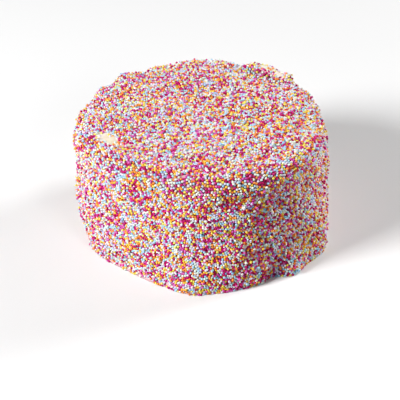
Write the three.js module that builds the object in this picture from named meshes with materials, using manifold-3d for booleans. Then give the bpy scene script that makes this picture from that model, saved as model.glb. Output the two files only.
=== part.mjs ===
// A tall round cake, iced and covered all over in sugar pearls (hundreds and thousands).
// Millimetres, +Z up. The underside is flat on z = 0, and the middle of the outline is the origin.
import * as THREE from 'three';
import { mergeVertices } from 'three/addons/utils/BufferGeometryUtils.js';
import Module from 'manifold-3d';

const wasm = await Module();
wasm.setup();

// The plain round form that everything is worked out from
const PLAIN_RADIUS = 90;
const PLAIN_HEIGHT = 90;
const RIM_ROUNDING = 14;
const SIDE_HEIGHT = PLAIN_HEIGHT - RIM_ROUNDING;
const TOP_REACH = PLAIN_RADIUS - RIM_ROUNDING; // how far the flat of the top goes out

// How the real cake departs from it: a first value, then cosine and sine terms for one wave round the
// cake, two waves, and so on
const PLAN_RADIUS = [89.0, 0, 1.7, 0.3, -0.5, -0.6, 0.3, 0.5, 0.2, 0, -0.6];
const RIM_HEIGHT = [88.6, 0.2, -0.15, -0.6, 0.6];
const RIM_FULLNESS = [0.9, 0, -1.75, -0.9, 0]; // how far the rounding stands out: it is sharper in front
const FOOT_DRAWN_IN = [1.75, -1.0, 1.6, 0.55, 0, -0.6, 0.6];
const FOOT_REACH = 40; // height over which the foot draws in or flares

// Gentle unevenness left by the palette knife: length of one swell, its depth and its direction
const SWELLS = [
  { length: 62, depth: 0.35, along: [0.8, 0.2, 0.6], start: 0.4 },
  { length: 47, depth: 0.35, along: [-0.3, 0.9, 0.4], start: 2.1 },
  { length: 38, depth: 0.3, along: [0.5, -0.6, 0.7], start: 4.0 },
  { length: 29, depth: 0.25, along: [0.7, 0.7, -0.3], start: 1.2 },
  { length: 24, depth: 0.2, along: [-0.6, 0.3, 0.8], start: 5.3 },
];

// Lumps and dents: angle round the cake in degrees, distance from the axis, height, spread and rise
const LUMPS = [
  // the knobbly back of the rim, from the right round to the left
  { turn: 5, out: 86, up: 80, spread: 13, rise: -3.8 },
  { turn: 24, out: 85, up: 84, spread: 8, rise: -0.4 },
  { turn: 35, out: 85, up: 86, spread: 4, rise: -1.4 },
  { turn: 43, out: 85, up: 88, spread: 4.5, rise: 5.2 },
  { turn: 53, out: 85, up: 88, spread: 6, rise: 4.8 },
  { turn: 62, out: 84, up: 88, spread: 6, rise: 4.0 },
  { turn: 71, out: 85, up: 88, spread: 5, rise: -2.2 },
  { turn: 82, out: 85, up: 86, spread: 5, rise: 1.8 },
  { turn: 97, out: 85, up: 88, spread: 8, rise: 2.4 },
  { turn: 113, out: 85, up: 88, spread: 6, rise: 0.8 },
  { turn: 124, out: 85, up: 88, spread: 5, rise: -0.6 },
  { turn: 133, out: 85, up: 88, spread: 6, rise: 3.8 },
  { turn: 142, out: 85, up: 88, spread: 4, rise: -1.0 },
  { turn: 150, out: 85, up: 86, spread: 6, rise: 2.2 },
  { turn: 160, out: 85, up: 86, spread: 4, rise: -2.4 },
  { turn: 171, out: 86, up: 83, spread: 6, rise: 2.2 },
  { turn: 350, out: 86, up: 80, spread: 12, rise: -2.4 },
  // the hollow in front of the raised ridge at the back right
  { turn: 42, out: 73, up: 88, spread: 4, rise: -1.8 },
  { turn: 50, out: 75, up: 88, spread: 4, rise: -2.2 },
  { turn: 58, out: 73, up: 88, spread: 4, rise: -1.8 },
  // the smear that has lost its pearls, and soft hollows and rises on the top
  { turn: 204, out: 73, up: 88, spread: 6, rise: -1.4 },
  { turn: 200, out: 84.5, up: 87, spread: 5, rise: 1.4 },
  { turn: 212, out: 84.5, up: 87, spread: 5, rise: 1.0 },
  { turn: 263, out: 78, up: 88, spread: 7, rise: -0.7 },
  { turn: 150, out: 45, up: 88, spread: 16, rise: 0.8 },
  { turn: 330, out: 40, up: 88, spread: 14, rise: -0.7 },
  // dents and bulges in the side
  { turn: 186, out: 90, up: 50, spread: 13, rise: -2.5 },
  { turn: 194, out: 90, up: 36, spread: 9, rise: 1.2 },
  { turn: 215, out: 90, up: 60, spread: 12, rise: 0.8 },
  { turn: 251, out: 89, up: 68, spread: 10, rise: -1.2 },
  { turn: 250, out: 87, up: 30, spread: 12, rise: -0.9 },
  { turn: 277, out: 90, up: 50, spread: 11, rise: -0.9 },
  { turn: 292, out: 90, up: 28, spread: 12, rise: 0.7 },
  { turn: 309, out: 90, up: 62, spread: 13, rise: -1.3 },
  { turn: 350, out: 90, up: 55, spread: 14, rise: -0.6 },
  { turn: 95, out: 90, up: 45, spread: 16, rise: -1.3 },
  { turn: 40, out: 88, up: 30, spread: 14, rise: 1.1 },
  { turn: 135, out: 88, up: 25, spread: 14, rise: -1.1 },
  // the uneven foot
  { turn: 197, out: 87, up: 8, spread: 8, rise: -1.8 },
  { turn: 230, out: 86, up: 4, spread: 8, rise: -2.2 },
  { turn: 239, out: 86, up: 4, spread: 10.5, rise: -2.8 },
  { turn: 265, out: 88, up: 4, spread: 10, rise: 4.6 },
  { turn: 304, out: 88, up: 4, spread: 6, rise: -3.4 },
  { turn: 313, out: 89, up: 4, spread: 8, rise: 6.0 },
  { turn: 332, out: 90, up: 8, spread: 14, rise: 5.4 },
  { turn: 60, out: 88, up: 4, spread: 12, rise: 1.6 },
  { turn: 110, out: 88, up: 4, spread: 10, rise: -1.6 },
  { turn: 160, out: 88, up: 4, spread: 12, rise: 1.2 },
];

// Sugar pearls that stand proud of the icing
const PEARL_RADIUS = 0.9;
const PEARL_COUNT = 246;
const PEARL_PROUD = 0.15; // how far its middle stands outside the icing
const PEARL_STRAY = { turn: 0.12, up: 3 }; // range about its even place: radians, and height on the side
const SEED = 37; // of the random draw
const BARE_PATCHES = [
  { turn: 205, out: 72.5, up: 88, reach: 9 },
  { turn: 52, out: 85, up: 92, reach: 6 },
];

// Fineness of the icing's mesh
const STEPS_ROUND = 72;
const STEPS_UP_SIDE = 8;
const STEPS_OVER_RIM = 5;
const STEPS_ACROSS_TOP = 6;

const pearlCoat = new THREE.MeshStandardMaterial({ color: '#d8a8a8', roughness: 0.5, metalness: 0 });

function wave(terms, turn) {
  let sum = terms[0];
  for (let i = 1; i < terms.length; i += 2) {
    const order = (i + 1) / 2;
    sum += terms[i] * Math.cos(order * turn) + terms[i + 1] * Math.sin(order * turn);
  }
  return sum;
}

function between(low, value, high) {
  return Math.min(high, Math.max(low, value));
}

function onCake({ turn, out, up }) {
  const angle = THREE.MathUtils.degToRad(turn);
  return new THREE.Vector3(out * Math.cos(angle), out * Math.sin(angle), up);
}

const lumpCentres = LUMPS.map(onCake);
const patchCentres = BARE_PATCHES.map(onCake);

// How far the icing stands out of the smooth form at a point of it
function unevenness(point) {
  let rise = 0;
  for (const { length, depth, along, start } of SWELLS) {
    const distance = point.dot(new THREE.Vector3(...along));
    rise += depth * Math.sin((2 * Math.PI * distance) / length + start);
  }
  LUMPS.forEach((lump, i) => {
    rise += lump.rise * Math.exp(-point.distanceToSquared(lumpCentres[i]) / (2 * lump.spread ** 2));
  });
  return rise;
}

// Turns a point of the plain round form into the same point of the real cake
function shaped(plain) {
  const turn = Math.atan2(plain.y, plain.x);
  const share = Math.hypot(plain.x, plain.y) / PLAIN_RADIUS;
  const rim = wave(RIM_HEIGHT, turn);
  const height = rim * share ** 2 + RIM_HEIGHT[0] * (1 - share ** 2);
  const up = (plain.z * height) / PLAIN_HEIGHT;
  const drawn = wave(FOOT_DRAWN_IN, turn) * between(0, 1 - up / FOOT_REACH, 1) ** 2;
  const out = share * (wave(PLAN_RADIUS, turn) - drawn);
  const point = new THREE.Vector3(out * Math.cos(turn), out * Math.sin(turn), up);

  const facesUp = between(0, (plain.z - SIDE_HEIGHT) / RIM_ROUNDING, 1);
  const facesOut = between(0, (share * PLAIN_RADIUS - TOP_REACH) / RIM_ROUNDING, 1);
  const outward = new THREE.Vector3(facesOut * Math.cos(turn), facesOut * Math.sin(turn), facesUp);
  const fullness = 2 * facesOut * facesUp * wave(RIM_FULLNESS, turn);
  return point.addScaledVector(outward, fullness + unevenness(point));
}

// The plain form's outline, from the middle of the underside to the middle of the top
function plainProfile() {
  const profile = [new THREE.Vector2(0, 0)];
  for (let i = 0; i <= STEPS_UP_SIDE; i++) {
    profile.push(new THREE.Vector2(PLAIN_RADIUS, (SIDE_HEIGHT * i) / STEPS_UP_SIDE));
  }
  for (let i = 1; i <= STEPS_OVER_RIM; i++) {
    const lean = (Math.PI / 2) * (i / STEPS_OVER_RIM);
    const out = TOP_REACH + RIM_ROUNDING * Math.cos(lean);
    profile.push(new THREE.Vector2(out, SIDE_HEIGHT + RIM_ROUNDING * Math.sin(lean)));
  }
  for (let i = 1; i <= STEPS_ACROSS_TOP; i++) {
    const out = TOP_REACH * (1 - i / STEPS_ACROSS_TOP);
    profile.push(new THREE.Vector2(out, PLAIN_HEIGHT));
  }
  return profile;
}

function icingGeometry() {
  const geometry = new THREE.LatheGeometry(plainProfile(), STEPS_ROUND);
  geometry.rotateX(Math.PI / 2);
  const corners = geometry.attributes.position;
  for (let i = 0; i < corners.count; i++) {
    const point = shaped(new THREE.Vector3().fromBufferAttribute(corners, i));
    corners.setXYZ(i, point.x, point.y, point.z);
  }
  return geometry;
}

function closedSolid(geometry) {
  geometry.deleteAttribute('normal');
  geometry.deleteAttribute('uv');
  const merged = mergeVertices(geometry, 1e-4);
  return new wasm.Manifold(
    new wasm.Mesh({
      numProp: 3,
      vertProperties: new Float32Array(merged.attributes.position.array),
      triVerts: new Uint32Array(merged.index.array),
    }),
  );
}

// Seeded random numbers from 0 to 1
function makeRandom(seed) {
  let state = seed;
  return () => {
    state = (state * 1664525 + 1013904223) % 4294967296;
    return state / 4294967296;
  };
}

// Points of the plain form, evenly spread over its side and top by area on a golden-angle spiral
function spreadOverCake(count, random) {
  const profile = plainProfile().slice(1);
  const areas = profile.slice(1).map((end, i) => {
    const length = end.distanceTo(profile[i]);
    return ((end.x + profile[i].x) / 2) * length;
  });
  const total = areas.reduce((sum, area) => sum + area, 0);
  const goldenAngle = Math.PI * (3 - Math.sqrt(5));
  const points = [];
  for (let n = 0; n < count; n++) {
    let left = (total * (n + 0.5)) / count;
    let band = 0;
    while (left > areas[band]) {
      left -= areas[band];
      band += 1;
    }
    const place = profile[band].clone().lerp(profile[band + 1], left / areas[band]);
    const turn = n * goldenAngle + (random() - 0.5) * PEARL_STRAY.turn;
    const strayUp = (random() - 0.5) * (place.y < SIDE_HEIGHT ? PEARL_STRAY.up : 0);
    const up = Math.max(place.y + strayUp, 2 * PEARL_RADIUS);
    points.push(new THREE.Vector3(place.x * Math.cos(turn), place.x * Math.sin(turn), up));
  }
  return points;
}

function pearlSolid(middle, random) {
  const geometry = new THREE.IcosahedronGeometry(PEARL_RADIUS, 0);
  geometry.rotateX(random() * Math.PI);
  geometry.rotateZ(random() * Math.PI);
  geometry.translate(middle.x, middle.y, middle.z);
  return closedSolid(geometry);
}

// Icing with its pearls, joined into one solid
function cakeSolid() {
  const random = makeRandom(SEED);
  const pearls = [];
  for (const plain of spreadOverCake(PEARL_COUNT, random)) {
    const middle = shaped(plain);
    const bare = BARE_PATCHES.some(({ reach }, i) => middle.distanceTo(patchCentres[i]) < reach);
    if (!bare) {
      const towardsAxis = new THREE.Vector3(0, 0, SIDE_HEIGHT / 2).sub(middle).normalize();
      pearls.push(pearlSolid(middle.addScaledVector(towardsAxis, -PEARL_PROUD), random));
    }
  }
  return wasm.Manifold.union([closedSolid(icingGeometry()), ...pearls]);
}

// Puts the middle of the outline on the origin, with the underside on z = 0
function centred(geometry) {
  geometry.computeBoundingBox();
  const middle = geometry.boundingBox.getCenter(new THREE.Vector3());
  return geometry.translate(-middle.x, -middle.y, -geometry.boundingBox.min.z);
}

function cakeMesh() {
  const { vertProperties, triVerts } = cakeSolid().getMesh();
  const geometry = new THREE.BufferGeometry();
  geometry.setAttribute('position', new THREE.BufferAttribute(vertProperties, 3));
  geometry.setIndex(new THREE.BufferAttribute(triVerts, 1));
  const mesh = new THREE.Mesh(centred(geometry), pearlCoat);
  mesh.name = 'cake';
  return mesh;
}

const cake = new THREE.Group();
cake.add(cakeMesh());

export default cake;
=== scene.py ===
import math

import bpy
import numpy as np
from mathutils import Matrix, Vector
from mathutils.kdtree import KDTree


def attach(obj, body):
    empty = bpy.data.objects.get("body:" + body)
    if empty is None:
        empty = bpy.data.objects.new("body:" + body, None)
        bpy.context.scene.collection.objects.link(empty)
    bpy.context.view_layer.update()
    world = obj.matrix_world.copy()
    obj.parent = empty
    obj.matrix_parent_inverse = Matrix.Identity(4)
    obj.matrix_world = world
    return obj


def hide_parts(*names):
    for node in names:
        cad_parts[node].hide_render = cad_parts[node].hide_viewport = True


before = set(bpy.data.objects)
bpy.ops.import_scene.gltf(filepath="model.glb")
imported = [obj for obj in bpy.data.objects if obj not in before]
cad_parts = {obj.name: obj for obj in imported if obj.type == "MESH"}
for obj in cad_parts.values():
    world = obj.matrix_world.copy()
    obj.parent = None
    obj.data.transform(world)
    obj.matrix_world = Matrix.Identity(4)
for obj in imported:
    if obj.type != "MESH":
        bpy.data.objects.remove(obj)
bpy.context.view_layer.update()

mm = 0.001  # sizes below are in millimetres, and Blender's own are in metres
random = np.random.default_rng(81)

# The same form as the solid's: a plain round cake, then how the real one departs from it. A list of
# waves has their mean, then the cosine and sine parts of one wave round the cake, of two, and so on
form = {
    "plainRadius": 90,
    "plainHeight": 90,
    "rimRounding": 14,
    "outlineMiddle": (-0.28, -0.31),  # of these values; the model has it at the origin
    "planRadius": [89.0, 0, 1.7, 0.3, -0.5, -0.6, 0.3, 0.5, 0.2, 0, -0.6],
    "rimHeight": [88.6, 0.2, -0.15, -0.6, 0.6],
    "rimFullness": [0.9, 0, -1.75, -0.9, 0],  # how far the rounding stands out: it is sharper in front
    "footDrawnIn": [1.75, -1.0, 1.6, 0.55, 0, -0.6, 0.6],
    "footReach": 40,  # height over which the foot draws in or flares
    # Swells left by the palette knife: length, depth, direction, start
    "swells": [
        (62, 0.35, (0.8, 0.2, 0.6), 0.4),
        (47, 0.35, (-0.3, 0.9, 0.4), 2.1),
        (38, 0.3, (0.5, -0.6, 0.7), 4.0),
        (29, 0.25, (0.7, 0.7, -0.3), 1.2),
        (24, 0.2, (-0.6, 0.3, 0.8), 5.3),
    ],
    # Lumps and dents: angle round the cake, distance from the axis, height, spread, rise
    "lumps": [
        # the knobbly back of the rim, from the right round to the left
        (5, 86, 80, 13, -3.8), (24, 85, 84, 8, -0.4), (35, 85, 86, 4, -1.4), (43, 85, 88, 4.5, 5.2),
        (53, 85, 88, 6, 4.8), (62, 84, 88, 6, 4.0), (71, 85, 88, 5, -2.2), (82, 85, 86, 5, 1.8),
        (97, 85, 88, 8, 2.4), (113, 85, 88, 6, 0.8), (124, 85, 88, 5, -0.6), (133, 85, 88, 6, 3.8),
        (142, 85, 88, 4, -1.0), (150, 85, 86, 6, 2.2), (160, 85, 86, 4, -2.4), (171, 86, 83, 6, 2.2),
        (350, 86, 80, 12, -2.4),
        # the hollow in front of the ridge
        (42, 73, 88, 4, -1.8), (50, 75, 88, 4, -2.2), (58, 73, 88, 4, -1.8),
        # the smear at the front left, and soft hollows and rises on the top
        (204, 73, 88, 6, -1.4), (200, 84.5, 87, 5, 1.4), (212, 84.5, 87, 5, 1.0), (263, 78, 88, 7, -0.7),
        (150, 45, 88, 16, 0.8), (330, 40, 88, 14, -0.7),
        # the side
        (186, 90, 50, 13, -2.5), (194, 90, 36, 9, 1.2), (215, 90, 60, 12, 0.8), (251, 89, 68, 10, -1.2),
        (250, 87, 30, 12, -0.9), (277, 90, 50, 11, -0.9), (292, 90, 28, 12, 0.7), (309, 90, 62, 13, -1.3),
        (350, 90, 55, 14, -0.6), (95, 90, 45, 16, -1.3), (40, 88, 30, 14, 1.1), (135, 88, 25, 14, -1.1),
        # the foot
        (197, 87, 8, 8, -1.8), (230, 86, 4, 8, -2.2), (239, 86, 4, 10.5, -2.8), (265, 88, 4, 10, 4.6),
        (304, 88, 4, 6, -3.4), (313, 89, 4, 8, 6.0), (332, 90, 8, 14, 5.4), (60, 88, 4, 12, 1.6),
        (110, 88, 4, 10, -1.6), (160, 88, 4, 12, 1.2),
    ],
    # Folds that the knife pressed in, too narrow for the solid: from and to, as angle, distance from the
    # axis and height; half width, depth
    "folds": [
        ((66, 73, 88), (57, 75, 88), 1.0, 1.6),
        ((57, 75, 88), (50, 77, 88), 1.0, 2.4),
        ((50, 77, 88), (42, 74, 87), 1.1, 3.0),
        ((42, 74, 87), (39, 79, 87), 1.1, 3.0),
        ((39, 79, 87), (40, 85, 86), 1.0, 2.0),
    ],
    # Fine knife work that only shows close to: length, depth, direction, start
    "knifeWork": [
        (11, 0.10, (0.5, 0.7, 0.5), 0.7),
        (8.3, 0.09, (-0.7, 0.4, 0.6), 3.9),
        (6.1, 0.08, (0.6, -0.7, 0.4), 1.8),
        (4.7, 0.06, (0.2, 0.5, -0.8), 5.0),
    ],
}
sideHeight = form["plainHeight"] - form["rimRounding"]
topReach = form["plainRadius"] - form["rimRounding"]


# A point from its angle round the cake, distance from the axis and height
def onAxes(turn, out, up):
    angle = math.radians(turn)
    return np.array([out * math.cos(angle), out * math.sin(angle), up])


# What a list of waves comes to at angles round the cake
def wave(terms, turn):
    total = np.full_like(turn, terms[0])
    for i in range(1, len(terms), 2):
        order = (i + 1) // 2
        total += terms[i] * np.cos(order * turn) + terms[i + 1] * np.sin(order * turn)
    return total


def distanceToLine(points, start, end):
    along = end - start
    share = np.clip((points - start) @ along / (along @ along), 0, 1)
    return np.linalg.norm(points - start - share[:, None] * along, axis=1)


# How far the surface stands out of the smooth form at points of it
def unevenness(points):
    rise = np.zeros(len(points))
    for length, depth, along, start in form["swells"] + form["knifeWork"]:
        rise += depth * np.sin(2 * math.pi * (points @ np.array(along)) / length + start)
    for turn, out, up, spread, lump in form["lumps"]:
        apart = points - onAxes(turn, out, up)
        rise += lump * np.exp(-(apart**2).sum(axis=1) / (2 * spread**2))
    for start, end, halfWidth, depth in form["folds"]:
        apart = distanceToLine(points, onAxes(*start), onAxes(*end))
        rise -= depth * np.exp(-apart**2 / (2 * halfWidth**2))
    return rise


# Turns points of the plain round form into the same points of the real cake
def shaped(plain):
    turn = np.arctan2(plain[:, 1], plain[:, 0])
    plainOut = np.hypot(plain[:, 0], plain[:, 1])
    share = plainOut / form["plainRadius"]
    height = wave(form["rimHeight"], turn) * share**2 + form["rimHeight"][0] * (1 - share**2)
    up = plain[:, 2] * height / form["plainHeight"]
    drawn = wave(form["footDrawnIn"], turn) * np.clip(1 - up / form["footReach"], 0, 1) ** 2
    out = share * (wave(form["planRadius"], turn) - drawn)
    points = np.stack([out * np.cos(turn), out * np.sin(turn), up], axis=1)

    facesUp = np.clip((plain[:, 2] - sideHeight) / form["rimRounding"], 0, 1)
    facesOut = np.clip((plainOut - topReach) / form["rimRounding"], 0, 1)
    outward = np.stack([facesOut * np.cos(turn), facesOut * np.sin(turn), facesUp], axis=1)
    fullness = 2 * facesOut * facesUp * wave(form["rimFullness"], turn)
    points += outward * (fullness + unevenness(points))[:, None]
    points[:, :2] -= form["outlineMiddle"]
    return points


# The plain form's outline from the foot up to the middle of the top: how far out and how high it runs
def plainOutline(sideSteps, rimSteps, topSteps):
    lean = np.linspace(0, math.pi / 2, rimSteps + 1)
    sideOut = np.full(sideSteps, form["plainRadius"])
    sideUp = np.linspace(0, sideHeight, sideSteps + 1)[:-1]
    topOut = np.linspace(topReach, 0, topSteps + 1)[1:]
    topUp = np.full(topSteps, form["plainHeight"])
    out = np.concatenate([sideOut, topReach + form["rimRounding"] * np.cos(lean), topOut])
    up = np.concatenate([sideUp, sideHeight + form["rimRounding"] * np.sin(lean), topUp])
    return out, up


# Moves points onto the plain form, and gives how far each one's face leans back from upright
def ontoPlain(points):
    turn = np.arctan2(points[:, 1], points[:, 0])
    out = np.hypot(points[:, 0], points[:, 1])
    coreOut = np.minimum(out, topReach)
    coreUp = np.minimum(points[:, 2], sideHeight)
    lean = np.arctan2(points[:, 2] - coreUp, out - coreOut)
    out = coreOut + form["rimRounding"] * np.cos(lean)
    up = coreUp + form["rimRounding"] * np.sin(lean)
    return np.stack([out * np.cos(turn), out * np.sin(turn), up], axis=1), lean


# Which way the real surface faces at points of the plain form: square to a step along it and a step up it
def facing(plain, lean):
    step = 0.4
    turn = np.arctan2(plain[:, 1], plain[:, 0])
    sin, cos = np.sin(turn), np.cos(turn)
    along = np.stack([-sin, cos, np.zeros(len(plain))], axis=1) * step
    upward = np.stack([-cos * np.sin(lean), -sin * np.sin(lean), np.cos(lean)], axis=1) * step
    acrossReal = shaped(plain + along) - shaped(plain - along)
    upReal = shaped(plain + upward) - shaped(plain - upward)
    normal = np.cross(acrossReal, upReal)
    return normal / np.linalg.norm(normal, axis=1, keepdims=True)


# Makes one object of points in millimetres and triangles of their numbers
def meshObject(name, points, triangles, material):
    mesh = bpy.data.meshes.new(name)
    mesh.vertices.add(len(points))
    mesh.vertices.foreach_set("co", (points * mm).astype(np.float32).ravel())
    mesh.loops.add(triangles.size)
    mesh.loops.foreach_set("vertex_index", triangles.astype(np.int32).ravel())
    mesh.polygons.add(len(triangles))
    mesh.polygons.foreach_set("loop_start", np.arange(0, triangles.size, 3, dtype=np.int32))
    mesh.update(calc_edges=True)
    mesh.shade_smooth()
    mesh.materials.append(material)
    piece = bpy.data.objects.new(name, mesh)
    bpy.context.scene.collection.objects.link(piece)
    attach(piece, "root")
    return piece


# From an sRGB hex colour to linear light
def linear(hexColour):
    channels = [int(hexColour[i:i + 2], 16) / 255 for i in (1, 3, 5)]
    return (*[c / 12.92 if c <= 0.04045 else ((c + 0.055) / 1.055) ** 2.4 for c in channels], 1)


# Adds a node with its settings; an input is a value, or the output of another node
def addNode(tree, kind, inputs=None, **settings):
    node = tree.nodes.new(kind)
    for name, value in settings.items():
        setattr(node, name, value)
    for name, value in (inputs or {}).items():
        if isinstance(value, bpy.types.NodeSocket):
            tree.links.new(value, node.inputs[name])
        else:
            node.inputs[name].default_value = value
    return node


def newMaterial(name):
    material = bpy.data.materials.new(name)
    material.use_nodes = True
    material.node_tree.nodes.clear()
    return material, material.node_tree


noiseLow, noiseHigh = 0.3, 0.7  # nearly all of a noise texture lies between these

# Boiled sugar panned into little balls and polished with wax: opaque colour, a soft gloss, and no two
# alike in shade
sugarPearl = {
    "ior": 1.53,
    "sugarGrain": 0.25,  # millimetres; real grain is finer, and this is as fine as shows
    "grainDepth": 0.02,
    "grainStrength": 0.35,
    "roughness": (0.44, 0.6),
}


def panSugar(name, paleColour, deepColour):
    material, tree = newMaterial(name)
    place = addNode(tree, "ShaderNodeTexCoord").outputs["Object"]
    grain = addNode(tree, "ShaderNodeTexNoise", {
        "Vector": place, "Scale": 1 / (sugarPearl["sugarGrain"] * mm), "Detail": 2.0,
    }).outputs["Fac"]
    shade = addNode(tree, "ShaderNodeNewGeometry").outputs["Random Per Island"]
    colour = addNode(tree, "ShaderNodeMix", {
        "Factor": shade, "A": linear(paleColour), "B": linear(deepColour),
    }, data_type="RGBA").outputs["Result"]
    low, high = sugarPearl["roughness"]
    roughness = addNode(tree, "ShaderNodeMapRange", {
        "Value": grain, "From Min": noiseLow, "From Max": noiseHigh, "To Min": low, "To Max": high,
    }).outputs["Result"]
    bump = addNode(tree, "ShaderNodeBump", {
        "Height": grain, "Strength": sugarPearl["grainStrength"], "Distance": sugarPearl["grainDepth"] * mm,
    }).outputs["Normal"]
    shader = addNode(tree, "ShaderNodeBsdfPrincipled", {
        "Base Color": colour, "Roughness": roughness, "Normal": bump, "IOR": sugarPearl["ior"],
    })
    addNode(tree, "ShaderNodeOutputMaterial", {"Surface": shader.outputs["BSDF"]})
    return material


# Whipped buttercream spread with a palette knife: pale and mottled, with a satin face and small air holes.
# Under the pearls their colours have run into it, and between them it is darkened further with painted
# shade
buttercream = {
    "pale": "#f4ecde",
    "deep": "#eadab8",
    "run": "#efbac2",  # where the pearls are thin
    "stainedAndShaded": "#9c727c",  # under a full cover, between the pearls: the pearls' stain darkened with painted shade
    "runFull": 0.4,  # bareness at which the stain and its painted shade have paled to the run
    "cleanFrom": 0.48,  # bareness at which clean icing begins to show, and at which it is all that shows
    "cleanFull": 0.6,
    "mottle": 7,  # millimetres
    "mottleRange": (0.35, 0.65),
    "airHole": 0.8,
    "holeDepth": 0.15,
    "holeStrength": 0.5,
    "ior": 1.46,
    "roughness": (0.38, 0.58),
    "lightInside": 0.15,  # share of the light that goes in, and how far
    "lightReach": 2,
}


def whipButtercream():
    material, tree = newMaterial("whipped buttercream")
    place = addNode(tree, "ShaderNodeTexCoord").outputs["Object"]
    mottle = addNode(tree, "ShaderNodeTexNoise", {
        "Vector": place, "Scale": 1 / (buttercream["mottle"] * mm), "Detail": 4.0,
    }).outputs["Fac"]
    holes = addNode(tree, "ShaderNodeTexNoise", {
        "Vector": place, "Scale": 1 / (buttercream["airHole"] * mm), "Detail": 3.0,
    }).outputs["Fac"]
    low, high = buttercream["mottleRange"]
    amount = addNode(tree, "ShaderNodeMapRange", {
        "Value": mottle, "From Min": low, "From Max": high,
    }).outputs["Result"]
    cream = addNode(tree, "ShaderNodeMix", {
        "Factor": amount, "A": linear(buttercream["pale"]), "B": linear(buttercream["deep"]),
    }, data_type="RGBA").outputs["Result"]
    bare = addNode(tree, "ShaderNodeAttribute", attribute_name="bareness").outputs["Fac"]
    thin = addNode(tree, "ShaderNodeMapRange", {
        "Value": bare, "From Max": buttercream["runFull"],
    }).outputs["Result"]
    clean = addNode(tree, "ShaderNodeMapRange", {
        "Value": bare, "From Min": buttercream["cleanFrom"], "From Max": buttercream["cleanFull"],
    }).outputs["Result"]
    # Between the pearls the stain is darkened with painted shade, and it pales to the run where they are
    # thin
    covered = addNode(tree, "ShaderNodeMix", {
        "Factor": thin, "A": linear(buttercream["stainedAndShaded"]), "B": linear(buttercream["run"]),
    }, data_type="RGBA").outputs["Result"]
    colour = addNode(tree, "ShaderNodeMix", {
        "Factor": clean, "A": covered, "B": cream,
    }, data_type="RGBA").outputs["Result"]
    low, high = buttercream["roughness"]
    roughness = addNode(tree, "ShaderNodeMapRange", {
        "Value": holes, "From Min": noiseLow, "From Max": noiseHigh, "To Min": low, "To Max": high,
    }).outputs["Result"]
    bump = addNode(tree, "ShaderNodeBump", {
        "Height": holes, "Strength": buttercream["holeStrength"], "Distance": buttercream["holeDepth"] * mm,
    }).outputs["Normal"]
    shader = addNode(tree, "ShaderNodeBsdfPrincipled", {
        "Base Color": colour, "Roughness": roughness, "Normal": bump, "IOR": buttercream["ior"],
        "Subsurface Weight": buttercream["lightInside"], "Subsurface Scale": buttercream["lightReach"] * mm,
    })
    addNode(tree, "ShaderNodeOutputMaterial", {"Surface": shader.outputs["BSDF"]})
    return material


icing = {
    "stepsRound": 320,  # points in one ring of its mesh
    "sideStep": 1.9,
    "topStep": 2.0,
    "rimSteps": 14,
    "underPearls": 0.7,  # how much lower it lies where pearls have sunk in
    "underEdge": 1.8,  # how far under the pearls a bare mark goes on
    # Bare marks: from and to, as angle, distance from the axis and height; reach, share of the pearls left
    "bareMarks": [
        # the smear at the front left, and its thin tail
        ((201.5, 73.5, 88), (208.5, 71.5, 88), 5.8, 0.02),
        ((211, 70.5, 88), (225, 62.5, 88), 3.8, 0.4),
        ((258, 81, 88), (266, 80, 88), 2.5, 0.7),
        ((279, 79, 88), (285, 80, 88), 2.2, 0.75),
        # the crest of the ridge
        ((58, 84.5, 92), (46, 85.5, 91.5), 3.6, 0.1),
        ((50, 83, 92), (44, 82, 90), 2.5, 0.45),
        # the foot
        ((198, 85, 4), (206, 86.5, 2.5), 3.0, 0.6),
        ((212, 85.5, 2), (224, 84, 2), 3.4, 0.53),
        ((226, 83, 2), (240, 83.5, 2), 3.4, 0.55),
        ((243, 84.5, 1.5), (254, 87, 1.5), 2.8, 0.55),
        ((261, 90, 1.2), (266, 91, 1.2), 2.4, 0.55),
    ],
    "edgeEnd": 1.1,  # where a mark's edge ends and how wide it is, as shares of its reach
    "edgeWidth": 0.35,
    # Waves that fray it: depth as a share of the reach, and radians in a millimetre along each axis
    "frays": [(0.22, (1.7, 0.9, 0.3)), (0.2, (-0.8, 2.1, 0.5))],
}


# How bare the icing is at points of the cake: 0 under the pearls and 1 where there are none. A margin
# carries every mark that much further
def bareness(points, margin=0):
    middle = np.array([*form["outlineMiddle"], 0])
    frayed = sum(depth * np.sin(points @ np.array(pace)) for depth, pace in icing["frays"])
    bare = np.zeros(len(points))
    for start, end, reach, left in icing["bareMarks"]:
        distance = distanceToLine(points, onAxes(*start) - middle, onAxes(*end) - middle)
        away = distance / (reach + margin) + frayed
        bare = np.maximum(bare, (1 - left) * np.clip((icing["edgeEnd"] - away) / icing["edgeWidth"], 0, 1))
    return bare


# Triangles over rings from the foot up; the middles of the top and the underside are the last two points
def ringTriangles(rings, count):
    here = np.arange(count)
    after = (here + 1) % count
    last = (rings - 1) * count
    topMiddle = rings * count
    underMiddle = topMiddle + 1
    triangles = []
    for low in range(0, last, count):
        high = low + count
        triangles.append(np.stack([low + here, low + after, high + after], axis=1))
        triangles.append(np.stack([low + here, high + after, high + here], axis=1))
    triangles.append(np.stack([last + here, last + after, np.full(count, topMiddle)], axis=1))
    triangles.append(np.stack([after, here, np.full(count, underMiddle)], axis=1))
    return np.vstack(triangles)


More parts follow.
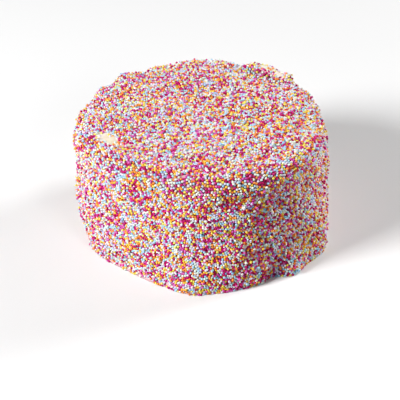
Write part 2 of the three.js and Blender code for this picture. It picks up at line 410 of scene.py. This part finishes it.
def spreadIcing():
    sideSteps = round(sideHeight / icing["sideStep"])
    topSteps = round(topReach / icing["topStep"])
    out, up = plainOutline(sideSteps, icing["rimSteps"], topSteps)
    rings = len(out) - 1  # the outline's last point is the middle of the top
    count = icing["stepsRound"]
    turn = np.arange(count) * 2 * math.pi / count
    ringPoints = np.stack([
        np.outer(out[:rings], np.cos(turn)),
        np.outer(out[:rings], np.sin(turn)),
        np.repeat(up[:rings, None], count, axis=1),
    ], axis=2)
    plain = np.vstack([ringPoints.reshape(-1, 3), [[0, 0, form["plainHeight"]], [0, 0, 0]]])
    points = shaped(plain)

    # All but the middle of the underside gives way under the pearls, and the foot stays flat
    bare = bareness(points, icing["underEdge"])
    _, lean = ontoPlain(plain[:-1])
    points[:-1] -= facing(plain[:-1], lean) * icing["underPearls"] * (1 - bare[:-1, None])
    points[:count, 2] = 0

    piece = meshObject("buttercream", points, ringTriangles(rings, count), whipButtercream())
    values = piece.data.attributes.new("bareness", "FLOAT", "POINT").data
    values.foreach_set("value", bare.astype(np.float32))
    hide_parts("cake")


pearls = {
    "radius": 0.9,
    "radiusSpread": 0.07,  # how far one pearl's size may be from the mean, as a share
    "squash": 0.06,  # how far out of round it may be, as a share
    "cover": 0.88,  # share of the icing that one layer hides
    "outlineSteps": (1, 32, 76),  # up the side, over the rim and across the top, for measuring the area
    "jitter": 1.0,  # how far a pearl starts from its even place
    "settleRounds": 24,
    "push": 0.45,  # share of an overlap that each of the two gives way in one round
    "footRoom": 1.05,  # lowest that a pearl's middle may be while they settle, in its radii
    "height": (-0.2, 0.35),  # of a pearl's middle above the form
    "piled": 0.12,  # share of the pearls beside which one more is piled, where it finds a seat
    "widestSeat": 1.4,  # how far from the seat's middle the three under it may be, in radii
    "nestle": 0.96,  # how high it sits, as a share of what just touching needs
    "pileFrom": 4,  # none is piled below this height
    "flatFaces": 1.03,  # flat faces cut into a ball, and this makes up for it
    "lift": 0.02,  # lowest that any corner lies
    # name: share, palest and deepest colour, material slot
    "kinds": {
        "white_pearls": (0.19, "#ece7e0", "#d0e4d6", "white_pearls"),
        "milky_pearls": (0.125, "#e2deee", "#c2bae4", "white_pearls"),
        "raspberry_pearls": (0.18, "#cc0876", "#a60258", "raspberry_pearls"),
        "pink_pearls": (0.11, "#e06eb6", "#c04a9e", "pink_pearls"),
        "orange_pearls": (0.14, "#f49e50", "#ea7a34", "orange_pearls"),
        "yellow_pearls": (0.14, "#e6e264", "#f6ba42", "yellow_pearls"),
        "blue_pearls": (0.115, "#b2deea", "#90c2e8", "blue_pearls"),
    },
}


# Even places on the plain form, on a golden-angle spiral by area, each a little astray
def scatter():
    out, up = plainOutline(*pearls["outlineSteps"])
    bandArea = np.hypot(np.diff(out), np.diff(up)) * (out[1:] + out[:-1]) * math.pi
    reached = np.concatenate([[0], np.cumsum(bandArea)])
    count = round(pearls["cover"] * reached[-1] / (math.pi * pearls["radius"] ** 2))
    area = (np.arange(count) + 0.5) / count * reached[-1]
    turn = np.arange(count) * math.pi * (3 - math.sqrt(5))
    placeOut = np.interp(area, reached, out)
    placeUp = np.interp(area, reached, up)
    places = np.stack([placeOut * np.cos(turn), placeOut * np.sin(turn), placeUp], axis=1)
    return ontoPlain(places + random.normal(scale=pearls["jitter"], size=places.shape))[0]


def neighbourTree(points):
    tree = KDTree(len(points))
    for i, point in enumerate(points):
        tree.insert(point, i)
    tree.balance()
    return tree


# Pearls that overlap push each other aside, round after round, as shaking would
def settle(points, radii):
    reach = 2 * radii.max()
    tiny = 1e-6  # keeps two pearls in one place from dividing by nothing
    for _ in range(pearls["settleRounds"]):
        tree = neighbourTree(points)
        pairs = [
            (i, j) for i, point in enumerate(points)
            for _, j, _ in tree.find_range(point, reach) if j != i
        ]
        first, second = np.array(pairs).T
        apart = points[first] - points[second]
        gap = np.linalg.norm(apart, axis=1)
        overlap = np.clip(radii[first] + radii[second] - gap, 0, None)
        push = apart / np.maximum(gap, tiny)[:, None] * overlap[:, None] * pearls["push"]
        for axis in range(3):
            points[:, axis] += np.bincount(first, push[:, axis], len(points))
        points, _ = ontoPlain(points)
        points[:, 2] = np.maximum(points[:, 2], radii * pearls["footRoom"])
    return points


# Middles, radii and facings of the pearls that lie on the icing itself, apart from the bare marks
def firstLayer():
    plain = scatter()
    count = len(plain)
    radii = pearls["radius"] * (1 + pearls["radiusSpread"] * random.uniform(-1, 1, count))
    plain, lean = ontoPlain(settle(plain, radii))
    normal = facing(plain, lean)
    surface = shaped(plain)
    middles = surface + normal * random.uniform(*pearls["height"], count)[:, None]
    middles[:, 2] = np.maximum(middles[:, 2], radii)
    keep = random.random(count) > bareness(surface)
    return middles[keep], radii[keep], normal[keep]


# Middles of the pearls that rest in a hollow between three that touch
def pile(middles, normal):
    radius = pearls["radius"]
    tree = neighbourTree(middles)
    piled = []
    for i in random.choice(len(middles), round(len(middles) * pearls["piled"]), replace=False):
        near = [j for _, j, _ in tree.find_n(middles[i], 3)]
        seat = middles[near].mean(axis=0)
        spread = np.linalg.norm(middles[near] - seat, axis=1).mean()
        if spread < pearls["widestSeat"] * radius and middles[i][2] > pearls["pileFrom"]:
            rise = math.sqrt((2 * radius) ** 2 - spread**2)
            piled.append(seat + normal[i] * rise * pearls["nestle"])
    return np.array(piled)


# Corners and triangles of a ball: eight sides between the axes, each split in four and rounded out
def ball():
    axes = [(1, 0, 0), (-1, 0, 0), (0, 1, 0), (0, -1, 0), (0, 0, 1), (0, 0, -1)]
    corners = [np.array(axis, float) for axis in axes]
    between = {}

    def middle(a, b):
        key = (min(a, b), max(a, b))
        if key not in between:
            between[key] = len(corners)
            half = corners[a] + corners[b]
            corners.append(half / np.linalg.norm(half))
        return between[key]

    triangles = []
    for x in (0, 1):
        for y in (2, 3):
            for z in (4, 5):
                # Every other side runs the other way round, so that all of them face out
                a, b, c = (x, y, z) if (x + y + z) % 2 == 0 else (y, x, z)
                ab, bc, ca = middle(a, b), middle(b, c), middle(c, a)
                triangles += [(a, ab, ca), (b, bc, ab), (c, ca, bc), (ab, bc, ca)]
    return np.array(corners), np.array(triangles)


# Matrices of random turns, each from a quaternion
def randomTurns(count):
    quaternions = random.normal(size=(count, 4))
    w, x, y, z = quaternions.T / np.linalg.norm(quaternions, axis=1)
    return np.array([
        [1 - 2 * (y * y + z * z), 2 * (x * y - w * z), 2 * (x * z + w * y)],
        [2 * (x * y + w * z), 1 - 2 * (x * x + z * z), 2 * (y * z - w * x)],
        [2 * (x * z - w * y), 2 * (y * z + w * x), 1 - 2 * (x * x + y * y)],
    ]).transpose(2, 0, 1)


# The corners of each pearl: the ball, a little out of round and turned at random
def shapePearls(corners, middles, radii):
    count = len(middles)
    size = radii[:, None] * (1 + pearls["squash"] * random.uniform(-1, 1, (count, 3)))
    squashed = corners[None] * size[:, None, :] * pearls["flatFaces"]
    points = np.einsum("nij,nkj->nki", randomTurns(count), squashed) + middles[:, None]
    points[:, :, 2] = np.maximum(points[:, :, 2], pearls["lift"])
    return points


def layPearls():
    middles, radii, normal = firstLayer()
    print("pearls in the first layer:", len(middles))
    piled = pile(middles, normal)
    print("pearls piled on them:", len(piled))
    middles = np.vstack([middles, piled])
    radii = np.concatenate([radii, np.full(len(piled), pearls["radius"])])

    corners, triangles = ball()
    points = shapePearls(corners, middles, radii)
    shares = np.array([kind[0] for kind in pearls["kinds"].values()])
    drawn = random.choice(len(shares), len(points), p=shares / shares.sum())
    for number, (name, (_, pale, deep, slotName)) in enumerate(pearls["kinds"].items()):
        own = points[drawn == number]
        faces = triangles[None] + (np.arange(len(own)) * len(corners))[:, None, None]
        material = panSugar("panned sugar, " + name.split("_")[0], pale, deep)
        meshObject(name, own.reshape(-1, 3), faces.reshape(-1, 3), material)
        print(name, len(own), "pearls,", len(own) * len(triangles), "triangles")


studio = {
    "lens": 112.23,
    "sensorWidth": 36,
    "cameraPlace": (-2.0, -762.2, 522.3),
    "cameraTilt": 33.5,  # degrees below level
    "floorRadius": 6000,
    "floorSteps": 96,
    "floorShades": ("#ececec", "#f1f1f1"),
    "cardShades": ("#a6a6a6", "#b0b0b0"),
    "cardDepth": 0.2,  # below the floor
    "paperRoughness": 0.8,
    "fibre": 1.1,  # millimetres; real fibres are finer, and this is as fine as shows
    "wallHeight": 7000,
    "wallSteps": 64,
    "wallGlow": "#f6f6f6",
    "paperFade": (550, 1300),  # from the cake's middle
    # Round soft boxes: direction, height in degrees, distance, size across, watts
    "lights": {
        "key": (211, 31, 2200, 730, 71),
        "overhead": (262, 80, 3000, 700, 3),
        "edge": (28, 16, 3000, 1300, 112),
        "fill": (300, 30, 3000, 900, 17),
    },
    "worldStrength": 0.02,
    # The camera's contrast, as light that comes in and light that is shown
    "toneCurve": ((0.05, 0.034), (0.35, 0.385), (0.7, 0.715)),
}


# Uncoated paper, rolled smooth: matt all over, with a fibre that hardly shows
def matPaper(name, darkColour, paleColour):
    material, tree = newMaterial(name)
    place = addNode(tree, "ShaderNodeTexCoord").outputs["Object"]
    fibre = addNode(tree, "ShaderNodeTexNoise", {
        "Vector": place, "Scale": 1 / (studio["fibre"] * mm),
    }).outputs["Fac"]
    colour = addNode(tree, "ShaderNodeMix", {
        "Factor": fibre, "A": linear(darkColour), "B": linear(paleColour),
    }, data_type="RGBA").outputs["Result"]
    shader = addNode(tree, "ShaderNodeBsdfPrincipled", {
        "Base Color": colour, "Roughness": studio["paperRoughness"],
    })
    addNode(tree, "ShaderNodeOutputMaterial", {"Surface": shader.outputs["BSDF"]})
    return material


# Adds a piece of the studio from corners in millimetres, out of sight of the rays named
def stagePiece(name, corners, faces, material, unseenBy):
    mesh = bpy.data.meshes.new(name)
    mesh.from_pydata([Vector(corner) * mm for corner in corners], [], faces)
    mesh.materials.append(material)
    piece = bpy.data.objects.new(name, mesh)
    bpy.context.scene.collection.objects.link(piece)
    for ray in unseenBy:
        setattr(piece, "visible_" + ray, False)


# The camera sees white paper. The cake gets the weaker bounce of a grey card that lies just under it
def layFloor():
    steps = studio["floorSteps"]
    rim = [onAxes(360 * i / steps, studio["floorRadius"], 0) for i in range(steps)]
    below = [corner - [0, 0, studio["cardDepth"]] for corner in rim]
    paper = matPaper("white paper sweep", *studio["floorShades"])
    greyCard = matPaper("grey card", *studio["cardShades"])
    stagePiece("floor", rim, [range(steps)], paper, ["diffuse", "glossy", "shadow"])
    stagePiece("card", below, [range(steps)], greyCard, ["camera"])


# Lit white paper: it fades in over the floor, away from the cake
def litPaper():
    material, tree = newMaterial("lit white paper")
    place = addNode(tree, "ShaderNodeTexCoord").outputs["Object"]
    away = addNode(tree, "ShaderNodeVectorMath", {0: place}, operation="LENGTH").outputs["Value"]
    begin, full = studio["paperFade"]
    amount = addNode(tree, "ShaderNodeMapRange", {
        "Value": away, "From Min": begin * mm, "From Max": full * mm,
    }, interpolation_type="SMOOTHSTEP").outputs["Result"]
    clear = addNode(tree, "ShaderNodeBsdfTransparent").outputs["BSDF"]
    glow = addNode(tree, "ShaderNodeEmission", {
        "Color": linear(studio["wallGlow"]), "Strength": 1.0,
    }).outputs["Emission"]
    surface = addNode(tree, "ShaderNodeMixShader", {0: amount, 1: clear, 2: glow}).outputs["Shader"]
    addNode(tree, "ShaderNodeOutputMaterial", {"Surface": surface})
    return material


# The paper lies over the far floor and stands up as a wall all round; it gives the cake no light
def standWall():
    steps = studio["wallSteps"]
    far = studio["floorRadius"]
    rings = [(studio["paperFade"][0], 1), (far, 1), (far, studio["wallHeight"])]
    corners = [onAxes(360 * i / steps, out, up) for out, up in rings for i in range(steps)]
    faces = []
    for low in range(0, len(corners) - steps, steps):
        for i in range(steps):
            after = (i + 1) % steps
            faces.append((low + i, low + after, low + steps + after, low + steps + i))
    stagePiece("wall", corners, faces, litPaper(), ["diffuse", "glossy", "transmission", "shadow"])


def setCamera():
    data = bpy.data.cameras.new("camera")
    data.lens = studio["lens"]
    data.sensor_width = studio["sensorWidth"]
    camera = bpy.data.objects.new("camera", data)
    camera.location = Vector(studio["cameraPlace"]) * mm
    camera.rotation_euler = (math.radians(90 - studio["cameraTilt"]), 0, 0)
    bpy.context.scene.collection.objects.link(camera)
    bpy.context.scene.camera = camera


def setLights():
    middle = Vector((0, 0, form["plainHeight"] / 2)) * mm
    for name, (turn, height, distance, size, watts) in studio["lights"].items():
        data = bpy.data.lights.new(name, "AREA")
        data.shape = "DISK"
        data.size = size * mm
        data.energy = watts
        lamp = bpy.data.objects.new(name, data)
        rise = math.radians(height)
        away = Vector(onAxes(turn, math.cos(rise), math.sin(rise)))
        lamp.location = middle + away * distance * mm
        lamp.rotation_euler = away.to_track_quat("Z", "Y").to_euler()
        bpy.context.scene.collection.objects.link(lamp)

    world = bpy.data.worlds.new("studio")
    world.use_nodes = True
    world.node_tree.nodes.clear()
    glow = addNode(world.node_tree, "ShaderNodeBackground", {
        "Color": (1, 1, 1, 1), "Strength": studio["worldStrength"],
    })
    addNode(world.node_tree, "ShaderNodeOutputWorld", {"Surface": glow.outputs["Background"]})
    bpy.context.scene.world = world


def setToneCurve():
    view = bpy.context.scene.view_settings
    view.view_transform = "Standard"
    view.use_curve_mapping = True
    allColours = view.curve_mapping.curves[3]  # after the ones for red, green and blue
    for comesIn, shown in studio["toneCurve"]:
        allColours.points.new(comesIn, shown)
    view.curve_mapping.update()


setCamera()
setLights()
setToneCurve()
layFloor()
standWall()
print("camera, lights and floor are in place")
spreadIcing()
print("icing is spread")
layPearls()
print("pearls are laid")
